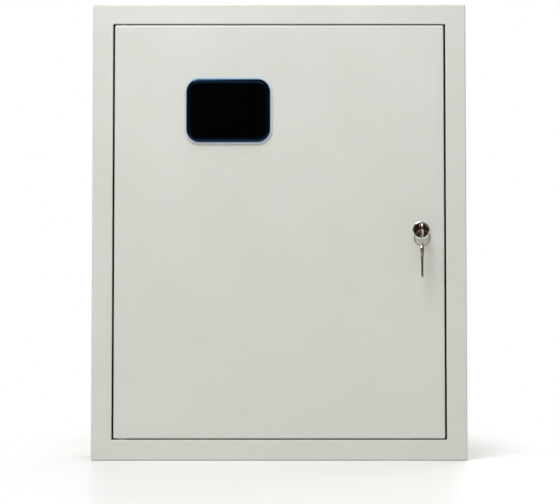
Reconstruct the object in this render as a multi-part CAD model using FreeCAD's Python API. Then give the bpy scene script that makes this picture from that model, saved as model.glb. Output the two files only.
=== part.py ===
import FreeCAD, Part
import math
import os

V = FreeCAD.Vector

# A flush electric meter box: a folded steel shell for a wall niche, a wide front
# frame that covers the plaster edge, and an inset door with a window and a cam lock.
# Millimetres. +Z is up, +Y goes into the wall, +X is to the right seen from the front.
# The origin is the centre of the shell's back, where it is bolted to the wall.

# Overall sizes
frame_width = 440.0
frame_height = 537.0
box_depth = 165.0
sheet = 1.2
bend_outer = 1.8
bend_inner = 0.6
corner_outer = 2.0
corner_inner = 0.8

# Front frame
frame_strip = 24.0
frame_return = 10.0
frame_slope_deg = 1.2
rebate_depth = 22.0
lip_width = 8.0
shell_margin_side = 4.0
shell_margin_end = 5.5
shell_flange = 7.0

# Door seal
seal_wall = 0.4
seal_bond = 0.05
seal_setback = 2.0
seal_width = 6.0
seal_thick = 2.0
seal_pin_play = 0.5

# Door
gap_side = 2.1
gap_top = 1.4
gap_bottom = 1.4
door_return = 13.0

# Hinge
hinge_inset = 10.0
hinge_depth = 6.5
pin_radius = 2.0
pin_head_radius = 3.4
pin_head_height = 1.5
pin_play = 0.1
pin_reach = 2.0
hinge_plate_thick = 2.0
hinge_plate_length = 24.0
hinge_plate_margin = 1.0
hinge_washer_radius = 4.2
hinge_washer_play = 0.05

# Window
window_drop = 101.4
lens_width = 98.8
lens_height = 74.8
lens_corner = 15.5
lens_edge = 0.9
lens_bevel_rise = 1.1
lens_bevel_width = 4.0
lens_panel_margin = 5.4
lens_panel_sink = 0.5
lens_skirt_inset = 3.0
lens_skirt_wall = 1.6
lens_skirt_depth = 7.6
lens_clip_length = 14.0
lens_clip_reach = 0.8
lens_clip_height = 1.2
gasket_margin = 2.2
gasket_thick = 1.8
window_fit = 0.3
retainer_margin = 2.6
retainer_thick = 3.0

# Cam lock
lock_backset = 27.7
lock_rise = 0.4
lock_head_radius = 10.5
lock_head_height = 5.0
lock_rim_width = 2.0
lock_rim_round = 1.4
lock_recess_depth = 2.2
barrel_radius = 9.4
barrel_flat = 7.9
barrel_length = 20.5
barrel_fit = 0.15
plug_radius = 6.0
plug_disc_thick = 1.6
plug_play = 0.1
plug_disc_play = 0.15
keyway_depth = 21.0
keyway_play = 0.12
key_turn_deg = 5.0
tenon_side = 6.0
tenon_step = 0.2
tenon_play = 0.1
cam_clearance = 0.6
cam_thick = 2.0
cam_length = 27.0
cam_root_radius = 8.5
cam_tip_width = 11.0
cam_tip_round = 2.0
cam_screw_radius = 1.9
cam_screw_length = 6.0
cam_screw_head_radius = 4.6
cam_screw_head_height = 2.8
screw_play = 0.1
lock_washer_thick = 1.0
lock_nut_thick = 4.5
lock_nut_flats = 24.0

# Keys and ring
key_thick = 1.9
key_blade_height = 7.0
key_blade_length = 20.0
key_shoulder_gap = 0.1
key_neck_length = 4.0
key_neck_height = 9.0
key_bow_radius = 8.5
key_bow_overlap = 1.0
key_hole_radius = 2.5
key_hole_offset = 4.2
key_groove_depth = 0.5
key_groove_height = 1.6
key_cut_depths = (1.1, 1.7, 0.8, 1.4)
key_cut_pitch = 3.6
key_cut_start = 4.5
key_cut_flat = 0.9
key_tip_taper = 2.2
key_edge_chamfer = 0.3
ring_radius = 9.0
ring_wire_width = 0.9
ring_wire_thick = 0.9
ring_wire_chamfer = 0.15
ring_coil_gap = 0.04
ring_drop = 1.2
ring_end_gap = 0.5
ring_step_deg = 50.0
ring_end_deg = 14.0
spare_key_yaw_deg = -12.0

# Fixings behind the devices
standoff_length = 22.0
standoff_flats = 8.0
standoff_screw_depth = 9.0
plate_screw_radius = 2.0
plate_screw_head_radius = 4.4
plate_screw_head_height = 2.6
device_sheet = 1.5

# Meter plate, by its distances from the shell's sides and top and from the cover
meter_plate_gap_left = 35.0
meter_plate_gap_right = 45.0
meter_plate_gap_top = 12.0
meter_plate_gap_cover = 30.0
meter_plate_fold = 8.0
meter_plate_screw_inset = 14.0
meter_inset = 105.0
meter_slot_spacing = 150.0
meter_slot_length = 30.0
meter_slot_radius = 2.75
meter_slot_rise = 50.0
meter_top_slot_drop = 33.0
meter_top_slot_length = 40.0

# Device rails
rail_height = 35.0
rail_web = 25.0
rail_depth = 7.5
rail_sheet = 1.0
rail_slot_length = 15.0
rail_slot_radius = 3.1
rail_slot_pitch = 25.0
main_rail_gap = 30.0
main_rail_rise = 140.0
side_rail_length = 80.0
side_rail_inset = 50.0
side_rail_drop = 88.0
side_rail_screw_inset = 15.0
rail_bracket_inset = 20.0
rail_bracket_width = 30.0
rail_bracket_foot = 12.0
rail_screw_head_radius = 4.0
rail_screw_head_height = 2.4
rail_screw_length = 8.0

# Breaker cover
cover_gap = 25.0
cover_height = 140.0
cover_front = 92.0
cover_fold = 15.0
cover_slot_margin = 17.0
cover_slot_height = 46.0
cover_corner = 1.5
cover_post_inset_x = 15.0
cover_post_inset_z = 15.0
cover_screw_head_radius = 6.0
cover_screw_head_height = 7.0
cover_knurls = 12

# Terminal bars
bar_rise = 35.0
bar_length = 100.0
bar_height = 8.0
bar_thick = 6.5
bar_holes = 9
bar_pitch = 8.4
bar_hole_radius = 2.3
bar_screw_radius = 1.9
bar_screw_length = 5.0
bar_screw_head_radius = 2.9
bar_screw_head_height = 1.8
bar_screw_slot = 0.9
insulator_width = 13.0
insulator_height = 22.0
insulator_length = 22.0
insulator_waist = 2.0
insulator_inset = 6.5
neutral_bar_inset = 100.0
earth_bar_inset = 110.0

# Earth studs
stud_radius = 3.0
stud_length = 18.0
stud_weld_radius = 4.5
stud_weld_height = 1.0
stud_nut_flats = 10.0
stud_nut_thick = 5.0
stud_washer_radius = 6.0
stud_washer_thick = 1.6
stud_play = 0.1
box_stud_inset = 28.0
box_stud_rise = 62.0
door_stud_inset = 34.5
door_stud_rise = 30.0

# Shell features
wall_hole_radius = 3.5
wall_hole_inset_x = 40.0
wall_hole_inset_z = 30.0
knockout_groove = 0.8
knockout_groove_depth = 0.7
knockout_from_back = 70.0
knockout_large = 18.0
knockout_small = 14.0
top_knockout_inset = 80.0
bottom_knockout_inset = 70.0
bottom_knockout_spread = 45.0
tab_width = 16.0
tab_length = 34.0
tab_slit = 1.6
tab_hole_radius = 2.6
tab_from_front = 70.0
tab_from_end = 100.0

# Levels and places that follow from the sizes above
front = -box_depth
frame_back = front + sheet
opening_width = frame_width - 2 * frame_strip
opening_height = frame_height - 2 * frame_strip
shell_width = opening_width + 2 * shell_margin_side
shell_height = opening_height + 2 * shell_margin_end
shell_right = shell_width / 2
shell_top = shell_height / 2
tan_slope = math.tan(math.radians(frame_slope_deg))
opening_left = -opening_width / 2
opening_right = opening_width / 2
opening_top = opening_height / 2
opening_bottom = -opening_height / 2
flange_reach = max(
    shell_right + shell_flange - opening_right,
    shell_top + shell_flange - opening_top,
    shell_top + shell_flange + opening_bottom,
)
shell_front = frame_back + flange_reach * tan_slope
rebate_back = front + rebate_depth

door_left = opening_left + gap_side
door_right = opening_right - gap_side
door_top = opening_top - gap_top
door_bottom = opening_bottom + gap_bottom
door_inner = front + sheet
door_back = front + door_return

hinge_x = door_left + hinge_inset
hinge_y = front + hinge_depth

gasket_front = front - gasket_thick
lens_front = gasket_front - lens_edge - lens_bevel_rise

lock_x = door_right - lock_backset
lock_z = (door_top + door_bottom) / 2 + lock_rise
lock_face = front - lock_head_height
lock_recess_floor = lock_face + lock_recess_depth
plug_front = lock_recess_floor - plug_disc_play - plug_disc_thick
barrel_back = front + barrel_length
cam_front = rebate_back + cam_clearance
cam_back = cam_front + cam_thick

key_shoulder = plug_front - key_shoulder_gap
bow_centre_reach = key_neck_length + key_bow_radius - key_bow_overlap
hole_reach = bow_centre_reach + key_hole_offset
ring_y = key_shoulder - hole_reach
ring_pivot_z = lock_z - ring_drop
ring_centre_z = ring_pivot_z - ring_radius
ring_bottom_z = ring_centre_z - ring_radius
spare_hole_z = ring_bottom_z - ring_drop

back_inner = -sheet
cover_width = shell_width - 2 * cover_gap
cover_slot_width = cover_width - 2 * cover_slot_margin
main_rail_z = main_rail_rise - shell_top
main_rail_length = shell_width - 2 * main_rail_gap
rail_bracket_x = main_rail_length / 2 - rail_bracket_inset

meter_plate_left = meter_plate_gap_left - shell_right
meter_plate_right = shell_right - meter_plate_gap_right
meter_plate_top = shell_top - meter_plate_gap_top
meter_plate_bottom = main_rail_z + cover_height / 2 + meter_plate_gap_cover
meter_x = meter_plate_left + meter_inset
meter_slot_z = meter_plate_bottom + meter_slot_rise
meter_top_slot_z = meter_plate_top - meter_top_slot_drop
side_rail_x = meter_plate_right - side_rail_inset
side_rail_z = meter_plate_top - side_rail_drop
window_x = meter_x
window_z = door_top - window_drop

bar_z = bar_rise - shell_top
neutral_bar_x = neutral_bar_inset - shell_right
earth_bar_x = shell_right - earth_bar_inset
box_stud_x = box_stud_inset - shell_right
box_stud_z = box_stud_rise - shell_top
door_stud_x = door_left + door_stud_inset
door_stud_z = door_bottom + door_stud_rise

plate_back = back_inner - standoff_length
plate_front = plate_back - device_sheet
rail_front = plate_front - rail_depth
cover_face = -cover_front
cover_inner = cover_face + device_sheet


def box(x0, x1, y0, y1, z0, z1):
    """A block between two corners."""
    return Part.makeBox(x1 - x0, y1 - y0, z1 - z0, V(x0, y0, z0))


def cylinder(radius, start, end):
    """A round bar from one point to another."""
    along = end.sub(start)
    return Part.makeCylinder(radius, along.Length, start, along)


def along_y(x, z, radius, y0, y1):
    """A round bar along Y."""
    return cylinder(radius, V(x, y0, z), V(x, y1, z))


def along_z(x, y, radius, z0, z1):
    """A round bar along Z."""
    return cylinder(radius, V(x, y, z0), V(x, y, z1))


def hexagon(x, z, flats, y0, y1):
    """A six-sided bar along Y, with two flats upright."""
    reach = flats / math.sqrt(3)
    turns = [math.radians(60 * i + 30) for i in range(6)]
    points = [V(x + reach * math.cos(a), y0, z + reach * math.sin(a)) for a in turns]
    wire = Part.makePolygon(points + points[:1])
    return Part.Face(wire).extrude(V(0, y1 - y0, 0))


def rounded_wire(cx, cz, width, height, radius, y):
    """A rectangle with round corners, in a plane across Y."""
    left, right = cx - width / 2, cx + width / 2
    low, high = cz - height / 2, cz + height / 2
    edges = []
    corners = (
        (right - radius, high - radius, 0),
        (left + radius, high - radius, 90),
        (left + radius, low + radius, 180),
        (right - radius, low + radius, 270),
    )
    for i, (x, z, start) in enumerate(corners):
        at = [math.radians(start + turn) for turn in (0, 45, 90)]
        arc = [V(x + radius * math.cos(a), y, z + radius * math.sin(a)) for a in at]
        edges.append(Part.Arc(*arc).toShape())
        nx, nz, nstart = corners[(i + 1) % 4]
        a = math.radians(nstart)
        following = V(nx + radius * math.cos(a), y, nz + radius * math.sin(a))
        edges.append(Part.LineSegment(arc[2], following).toShape())
    return Part.Wire(edges)


def rounded_block(cx, cz, width, height, radius, y0, y1):
    """A plate with round corners, its thickness along Y."""
    wire = rounded_wire(cx, cz, width, height, radius, y0)
    return Part.Face(wire).extrude(V(0, y1 - y0, 0))


def edges_along_y(shape):
    """The straight edges that run along Y."""
    found = []
    for edge in shape.Edges:
        ends = [v.Point for v in edge.Vertexes]
        if len(ends) == 2 and ends[0].sub(ends[1]).cross(V(0, 1, 0)).Length < 1e-6:
            found.append(edge)
    return found


def edges_at_y(shape, y):
    """The edges that lie in the plane at y."""
    return [e for e in shape.Edges if abs(e.BoundBox.YMin - y) < 1e-6 and abs(e.BoundBox.YMax - y) < 1e-6]


def pressed_block(left, right, low, high, closed, opened, corner, bend):
    """A block with round corners and a round bend at its closed end."""
    block = box(left, right, min(closed, opened), max(closed, opened), low, high)
    block = block.makeFillet(corner, edges_along_y(block))
    return block.makeFillet(bend, edges_at_y(block, closed))


def folded_tray(left, right, low, high, closed, opened, wall=sheet):
    """A tray folded from one sheet, its floor at closed and its rim at opened."""
    step = wall if opened > closed else -wall
    outer = pressed_block(left, right, low, high, closed, opened, corner_outer, bend_outer)
    inner = pressed_block(
        left + wall, right - wall, low + wall, high - wall,
        closed + step, opened, corner_inner, bend_inner,
    )
    return outer.cut(inner)


def slot_along_x(x, z, length, radius, y0, y1):
    """A slot cutter with round ends, its length along X and its depth along Y."""
    return rounded_block(x, z, length, 2 * radius, radius - 1e-4, y0, y1)


def slot_along_z(x, z, length, radius, y0, y1):
    """A slot cutter with round ends, its length along Z and its depth along Y."""
    return rounded_block(x, z, 2 * radius, length, radius - 1e-4, y0, y1)


def pan_screw(x, z, seat, radius, length, head_radius, head_height):
    """A pan-head screw driven along +Y, its head's underside at seat."""
    shank = along_y(x, z, radius, seat, seat + length)
    head = along_y(x, z, head_radius, seat - head_height, seat)
    head = head.makeChamfer(head_height * 0.35, edges_at_y(head, seat - head_height))
    return shank.fuse(head).removeSplitter()


def anchor_tab_slits(side):
    """The U-shaped slit and the hole of one pair of plaster tabs in a side wall."""
    x = side * shell_right
    x0, x1 = x - 2 * sheet, x + 2 * sheet
    tab_y = front + tab_from_front
    tab_z = shell_top - tab_from_end
    cutters = []
    for z in (-tab_z, tab_z):
        y0, y1 = tab_y - tab_length / 2, tab_y + tab_length / 2
        z0, z1 = z - tab_width / 2, z + tab_width / 2
        outline = box(x0, x1, y0 - tab_slit, y1, z0 - tab_slit, z1 + tab_slit)
        tongue = box(x0, x1, y0, y1, z0, z1)
        cutters.append(outline.cut(tongue))
        hole_y = y0 + tab_width / 2
        cutters.append(cylinder(tab_hole_radius, V(x0, hole_y, z), V(x1, hole_y, z)))
    return cutters


def knockout_grooves():
    """The half-sheared rings of the cable knock-outs in the top and the bottom."""
    top_x = shell_right - top_knockout_inset
    bottom_x = shell_right - bottom_knockout_inset
    near_x = bottom_knockout_spread
    top_row = [(-top_x, knockout_large), (0.0, knockout_small), (top_x, knockout_large)]
    bottom_row = [(-bottom_x, knockout_large), (-near_x, knockout_small)]
    bottom_row += [(near_x, knockout_small), (bottom_x, knockout_large)]
    y = -knockout_from_back
    cutters = []
    for side, row in ((1, top_row), (-1, bottom_row)):
        outside = side * shell_top
        inside = outside - side * knockout_groove_depth
        low, high = min(inside, outside), max(inside, outside)
        for x, radius in row:
            ring = along_z(x, y, radius, low, high)
            cutters.append(ring.cut(along_z(x, y, radius - knockout_groove, low, high)))
    return cutters


def box_shell():
    """The folded shell with its front flange, knock-outs, tabs and wall holes."""
    half_w, half_h = shell_right, shell_top
    shell = folded_tray(-half_w, half_w, -half_h, half_h, 0.0, shell_front)
    flange = box(
        -half_w - shell_flange, half_w + shell_flange, shell_front, shell_front + sheet,
        -half_h - shell_flange, half_h + shell_flange,
    )
    flange = flange.makeFillet(corner_outer, edges_along_y(flange))
    mouth = box(
        -half_w + sheet, half_w - sheet, shell_front, shell_front + sheet,
        -half_h + sheet, half_h - sheet,
    )
    mouth = mouth.makeFillet(corner_inner, edges_along_y(mouth))
    shell = shell.fuse(flange.cut(mouth)).removeSplitter()
    cutters = anchor_tab_slits(-1) + anchor_tab_slits(1) + knockout_grooves()
    hole_x, hole_z = shell_right - wall_hole_inset_x, shell_top - wall_hole_inset_z
    for x in (-hole_x, hole_x):
        for z in (-hole_z, hole_z):
            cutters.append(along_y(x, z, wall_hole_radius, -2 * sheet, sheet))
    cutters += hinge_holes(-half_h - sheet, half_h + sheet)
    return shell.cut(cutters)


def hinge_holes(low, high):
    """The two holes on the hinge axis, from outside a wall to behind it."""
    radius = pin_radius + pin_play
    top = along_z(hinge_x, hinge_y, radius, high - 6 * sheet, high)
    bottom = along_z(hinge_x, hinge_y, radius, low, low + 6 * sheet)
    return [top, bottom]


def frame_slope(offset):
    """The sloping front of the frame's strips, moved back and out by offset."""
    reach = 2 * frame_strip
    w, h = opening_width / 2 + offset, opening_height / 2 + offset
    y0, y1 = front + offset, front + offset + reach * tan_slope
    wires = []
    for x, z, y in ((w, h, y0), (w + reach, h + reach, y1)):
        points = [V(-x, y, -z), V(x, y, -z), V(x, y, z), V(-x, y, z), V(-x, y, -z)]
        wires.append(Part.makePolygon(points))
    front_part = Part.makeLoft(wires, True, True)
    rear_part = box(-w - reach, w + reach, y1, y1 + frame_return, -h - reach, h + reach)
    return front_part.fuse(rear_part)


def frame_strips():
    """The sloped strips and their outer returns, mitred at the four corners."""
    half_w, half_h = frame_width / 2, frame_height / 2
    back = front + frame_return
    outer = box(-half_w, half_w, front, back, -half_h, half_h)
    outer = outer.makeFillet(corner_outer, edges_along_y(outer))
    outer = outer.common(frame_slope(0.0)).removeSplitter()
    front_loop = []
    for edge in outer.Edges:
        b = edge.BoundBox
        reach = max(abs(b.Center.x) - half_w, abs(b.Center.z) - half_h)
        if b.YMax < front + frame_return / 2 and reach > -corner_outer:
            front_loop.append(edge)
    outer = outer.makeFillet(bend_outer, front_loop)
    inner = box(
        -half_w + sheet, half_w - sheet, front + sheet, back,
        -half_h + sheet, half_h - sheet,
    )
    inner = inner.makeFillet(corner_inner, edges_along_y(inner))
    inner = inner.common(frame_slope(0.0).translate(V(0, sheet, 0)))
    return outer.cut(inner)


def front_frame():
    """The wide front frame with the rebate and stop lip that the door closes into."""
    strips = frame_strips()
    hole = box(opening_left, opening_right, front - sheet, rebate_back, opening_bottom, opening_top)
    hole = hole.makeFillet(corner_inner, edges_along_y(hole))
    tube = box(
        opening_left - sheet, opening_right + sheet, front + sheet / 2, rebate_back,
        opening_bottom - sheet, opening_top + sheet,
    )
    tube = tube.makeFillet(corner_outer, edges_along_y(tube))
    lip = box(
        opening_left - sheet / 2, opening_right + sheet / 2, rebate_back - sheet, rebate_back,
        opening_bottom - sheet / 2, opening_top + sheet / 2,
    )
    mouth = box(
        opening_left + lip_width, opening_right - lip_width, rebate_back - 2 * sheet, rebate_back + sheet,
        opening_bottom + lip_width, opening_top - lip_width,
    )
    mouth = mouth.makeFillet(corner_outer, edges_along_y(mouth))
    frame = strips.fuse(tube).cut(hole).fuse(lip.cut(mouth)).removeSplitter()
    rim = []
    for edge in frame.Edges:
        b = edge.BoundBox
        flat = b.YMax < front + 0.05
        within = abs(b.Center.x) < opening_right + 0.01 and opening_bottom - 0.01 < b.Center.z < opening_top + 0.01
        if flat and within and b.DiagonalLength > 0.5:
            rim.append(edge)
    frame = frame.makeFillet(bend_outer * 0.6, rim)
    return frame.cut(hinge_holes(opening_bottom - 2 * sheet, opening_top + 2 * sheet))


def seal_prism(inset, y0, y1, corner):
    """A block across the opening, inset from its edges, with round corners."""
    block = box(
        opening_left + inset, opening_right - inset, y0, y1,
        opening_bottom + inset, opening_top - inset,
    )
    return block.makeFillet(corner, edges_along_y(block))


def door_seal():
    """The black rubber angle round the rebate: a thin leg on its walls and a thick leg
    on the stop lip, cut away round the hinge pins."""
    y1 = rebate_back - sheet
    y0 = y1 - seal_thick
    whole = seal_prism(seal_bond, front + seal_setback, y1, corner_outer)
    well = seal_prism(seal_bond + seal_wall, front, y0, corner_outer - seal_wall)
    mouth = seal_prism(seal_bond + seal_width, front, y1 + sheet, corner_outer)
    radius = hinge_washer_radius + seal_pin_play
    pin_holes = along_z(hinge_x, hinge_y, radius, opening_bottom, opening_top)
    return whole.cut([well, mouth, pin_holes])


def hinge_pin(side):
    """A headed pin through the shell and the frame's return, into the door."""
    outside = side * shell_top
    door_edge = door_top if side > 0 else door_bottom
    tip = door_edge - side * (sheet + hinge_plate_thick + pin_reach)
    shank = along_z(hinge_x, hinge_y, pin_radius, min(outside, tip), max(outside, tip))
    cap = outside + side * pin_head_height
    head = along_z(hinge_x, hinge_y, pin_head_radius, min(outside, cap), max(outside, cap))
    pin = shank.fuse(head).removeSplitter()
    ends = [e for e in pin.Edges if abs(e.BoundBox.Center.z - cap) < 1e-6]
    tips = [e for e in pin.Edges if abs(e.BoundBox.Center.z - tip) < 1e-6 and e.BoundBox.ZLength < 1e-6]
    pin = pin.makeChamfer(pin_head_height * 0.4, ends)
    return pin.makeChamfer(pin_radius * 0.25, tips)


def hinge_washer():
    """The slippery washer under the door's lower hinge corner."""
    low = opening_bottom
    high = door_bottom - hinge_washer_play
    washer = along_z(hinge_x, hinge_y, hinge_washer_radius, low, high)
    return washer.cut(along_z(hinge_x, hinge_y, pin_radius + pin_play, low, high))


def hinge_plate(side):
    """The thick plate that backs the door's edge round a hinge pin."""
    edge = door_top if side > 0 else door_bottom
    near = edge - side * sheet
    far = near - side * hinge_plate_thick
    left = door_left + sheet + hinge_plate_margin
    plate = box(
        left, left + hinge_plate_length, door_inner + hinge_plate_margin, door_back,
        min(near, far), max(near, far),
    )
    return plate.cut(along_z(hinge_x, hinge_y, pin_radius + pin_play, min(near, far), max(near, far)))


def door_panel():
    """The door, folded from one sheet, with its window, lock and hinge holes."""
    panel = folded_tray(door_left, door_right, door_bottom, door_top, front, door_back)
    cutters = [window_block(-lens_skirt_inset + window_fit, front - sheet, door_inner + sheet)]
    lock_hole = along_y(lock_x, lock_z, barrel_radius + barrel_fit, front - sheet, door_inner + sheet)
    flat = barrel_flat + barrel_fit
    band = box(lock_x - 20, lock_x + 20, front - 2 * sheet, door_inner + 2 * sheet, lock_z - flat, lock_z + flat)
    cutters.append(lock_hole.common(band))
    radius = pin_radius + pin_play
    cutters.append(along_z(hinge_x, hinge_y, radius, door_top - 2 * sheet, door_top + sheet))
    cutters.append(along_z(hinge_x, hinge_y, radius, door_bottom - sheet, door_bottom + 2 * sheet))
    return panel.cut(cutters)


def window_block(grow, y0, y1):
    """A block with the outline of the lens, moved out by grow on every side."""
    return rounded_block(
        window_x, window_z, lens_width + 2 * grow, lens_height + 2 * grow, lens_corner + grow, y0, y1
    )


def window_wire(grow, y):
    """The lens's outline moved out by grow, as a wire."""
    return rounded_wire(
        window_x, window_z, lens_width + 2 * grow, lens_height + 2 * grow, lens_corner + grow, y
    )


def window_lens():
    """The moulded window: a bevelled border, a sunk panel and a skirt with clips."""
    border = window_block(0.0, gasket_front - lens_edge, gasket_front)
    wires = [window_wire(0.0, gasket_front - lens_edge), window_wire(-lens_bevel_width, lens_front)]
    bevel = Part.makeLoft(wires, True, True)
    skirt_back = gasket_front + lens_skirt_depth
    skirt = window_block(-lens_skirt_inset, gasket_front, skirt_back)
    hollow = window_block(-lens_skirt_inset - lens_skirt_wall, gasket_front + 0.6, skirt_back)
    panel = window_block(-lens_panel_margin, lens_front, lens_front + lens_panel_sink)
    lens = border.fuse([bevel, skirt]).cut([hollow, panel]).removeSplitter()
    clip_front = door_inner + retainer_thick
    clips = []
    for dx in (-lens_width / 4, lens_width / 4):
        for side in (-1, 1):
            z = window_z + side * (lens_height / 2 - lens_skirt_inset)
            x = window_x + dx
            low, high = min(z, z + side * lens_clip_reach), max(z, z + side * lens_clip_reach)
            half = lens_clip_length / 2
            clip = box(x - half, x + half, clip_front, clip_front + lens_clip_height, low - 0.4, high)
            if side < 0:
                clip = box(x - half, x + half, clip_front, clip_front + lens_clip_height, low, high + 0.4)
            clips.append(clip)
    return lens.fuse(clips).removeSplitter()


def window_gasket():
    """The pale seal between the lens and the door, seen as a thin rim."""
    pad = window_block(gasket_margin, gasket_front, front)
    pad = pad.makeFillet(gasket_thick * 0.4, edges_at_y(pad, gasket_front))
    return pad.cut(window_block(-lens_skirt_inset + window_fit / 2, gasket_front, front))


def window_retainer():
    """The black frame that the lens's clips hold against the door from inside."""
    back = door_inner + retainer_thick
    ring = window_block(retainer_margin, door_inner, back)
    ring = ring.makeFillet(0.8, edges_at_y(ring, back))
    return ring.cut(window_block(-lens_skirt_inset + window_fit, door_inner, back))


def revolved(profile):
    """A turned solid on the lock's axis, from (radius, y) points and arcs."""
    edges = []
    for piece in profile:
        points = [V(lock_x + r, y, lock_z) for r, y in piece]
        if len(points) == 2:
            edges.append(Part.LineSegment(*points).toShape())
        else:
            edges.append(Part.Arc(*points).toShape())
    face = Part.Face(Part.Wire(edges))
    return face.revolve(V(lock_x, 0, lock_z), V(0, 1, 0), 360)


def lock_barrel():
    """The lock's cast housing: a domed rim, and a threaded body with two flats."""
    rim_inner = lock_head_radius - lock_rim_width
    bore = plug_radius + plug_play
    r = lock_rim_round
    bend = r * (1 - math.sqrt(0.5))
    outline = [
        ((bore, barrel_back), (barrel_radius, barrel_back)),
        ((barrel_radius, barrel_back), (barrel_radius, front)),
        ((barrel_radius, front), (lock_head_radius, front)),
        ((lock_head_radius, front), (lock_head_radius, lock_face + r)),
        (
            (lock_head_radius, lock_face + r),
            (lock_head_radius - bend, lock_face + bend),
            (lock_head_radius - r, lock_face),
        ),
        ((lock_head_radius - r, lock_face), (rim_inner, lock_face)),
        ((rim_inner, lock_face), (rim_inner, lock_recess_floor)),
        ((rim_inner, lock_recess_floor), (bore, lock_recess_floor)),
        ((bore, lock_recess_floor), (bore, barrel_back)),
    ]
    barrel = revolved(outline)
    flats = []
    for side in (-1, 1):
        near, far = lock_z + side * barrel_flat, lock_z + side * (barrel_radius + 1)
        flats.append(box(lock_x - 12, lock_x + 12, front, barrel_back + 1, min(near, far), max(near, far)))
    return barrel.cut(flats)


def lock_washer():
    """The toothed washer under the lock's nut."""
    y0, y1 = door_inner, door_inner + lock_washer_thick
    ring = along_y(lock_x, lock_z, lock_nut_flats / 2, y0, y1)
    teeth = 16
    cutters = [along_y(lock_x, lock_z, barrel_radius + barrel_fit, y0, y1)]
    for i in range(teeth):
        angle = 2 * math.pi * i / teeth
        x = lock_x + lock_nut_flats / 2 * math.cos(angle)
        z = lock_z + lock_nut_flats / 2 * math.sin(angle)
        cutters.append(along_y(x, z, 0.9, y0, y1))
    return ring.cut(cutters)


def lock_nut():
    """The large six-sided nut that clamps the lock to the door."""
    y0 = door_inner + lock_washer_thick
    y1 = y0 + lock_nut_thick
    nut = hexagon(lock_x, lock_z, lock_nut_flats, y0, y1)
    cone = Part.makeCone(
        lock_nut_flats / 2 + 0.2, lock_nut_flats / 2 + 0.2 + lock_nut_thick, lock_nut_thick,
        V(lock_x, y1, lock_z), V(0, -1, 0),
    )
    nut = nut.common(cone)
    return nut.cut(along_y(lock_x, lock_z, barrel_radius + barrel_fit, y0, y1))


def turned_about_lock(shape, degrees):
    """The shape turned about the lock's axis, anticlockwise seen from the front."""
    turned = shape.copy()
    turned.rotate(V(lock_x, 0, lock_z), V(0, -1, 0), degrees)
    return turned


def lock_plug():
    """The turning plug with its keyway, its face disc and the cam's square tenon."""
    disc_radius = lock_head_radius - lock_rim_width - plug_disc_play
    disc = along_y(lock_x, lock_z, disc_radius, plug_front, plug_front + plug_disc_thick)
    disc = disc.makeChamfer(0.4, edges_at_y(disc, plug_front))
    body = along_y(lock_x, lock_z, plug_radius, plug_front + plug_disc_thick, cam_front)
    half = tenon_side / 2
    tenon = box(
        lock_x - half, lock_x + half, cam_front, cam_back - tenon_step, lock_z - half, lock_z + half
    )
    plug = disc.fuse([body, tenon]).removeSplitter()
    key_slot_height = key_blade_height / 2 + keyway_play
    key_slot_width = key_thick / 2 + keyway_play
    slot = box(
        lock_x - key_slot_width, lock_x + key_slot_width, plug_front - 1, plug_front + keyway_depth,
        lock_z - key_slot_height, lock_z + key_slot_height,
    )
    screw_hole = along_y(
        lock_x, lock_z, cam_screw_radius + screw_play / 2, cam_back - cam_screw_length - 0.5, cam_back
    )
    return plug.cut([turned_about_lock(slot, key_turn_deg), screw_hole])


def lock_cam():
    """The flat tongue that turns behind the frame's lip; it hangs down when unlocked."""
    root = along_y(lock_x, lock_z, cam_root_radius, cam_front, cam_back)
    half = cam_tip_width / 2
    tongue = box(
        lock_x - half, lock_x + half, cam_front, cam_back, lock_z - cam_length, lock_z
    )
    tips = [e for e in edges_along_y(tongue) if e.BoundBox.Center.z < lock_z - cam_length / 2]
    tongue = tongue.makeFillet(cam_tip_round, tips)
    side = tenon_side / 2 + tenon_play
    square = box(lock_x - side, lock_x + side, cam_front, cam_back, lock_z - side, lock_z + side)
    return root.fuse(tongue).removeSplitter().cut(square)


def cam_screw():
    """The screw that clamps the cam on the plug's tenon."""
    shank = along_y(lock_x, lock_z, cam_screw_radius, cam_back - cam_screw_length, cam_back)
    cap = cam_back + cam_screw_head_height
    head = along_y(lock_x, lock_z, cam_screw_head_radius, cam_back, cap)
    head = head.makeChamfer(0.8, edges_at_y(head, cap))
    slot = box(lock_x - 6, lock_x + 6, cap - 1.2, cap, lock_z - 0.5, lock_z + 0.5)
    return shank.fuse(head).removeSplitter().cut(slot)


def blade_outline():
    """Half of the blade's outline as (distance from the shoulder, half height) points."""
    half = key_blade_height / 2
    points = [(0.0, half)]
    for i, depth in enumerate(key_cut_depths):
        centre = key_cut_start + i * key_cut_pitch
        ramp = key_cut_flat / 2 + depth
        points += [
            (centre - ramp, half),
            (centre - key_cut_flat / 2, half - depth),
            (centre + key_cut_flat / 2, half - depth),
            (centre + ramp, half),
        ]
    points.append((key_blade_length - key_tip_taper, half))
    points.append((key_blade_length, half - key_tip_taper))
    clean = []
    for point in points:
        if clean and point[0] <= clean[-1][0]:
            continue
        clean.append(point)
    return clean


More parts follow.
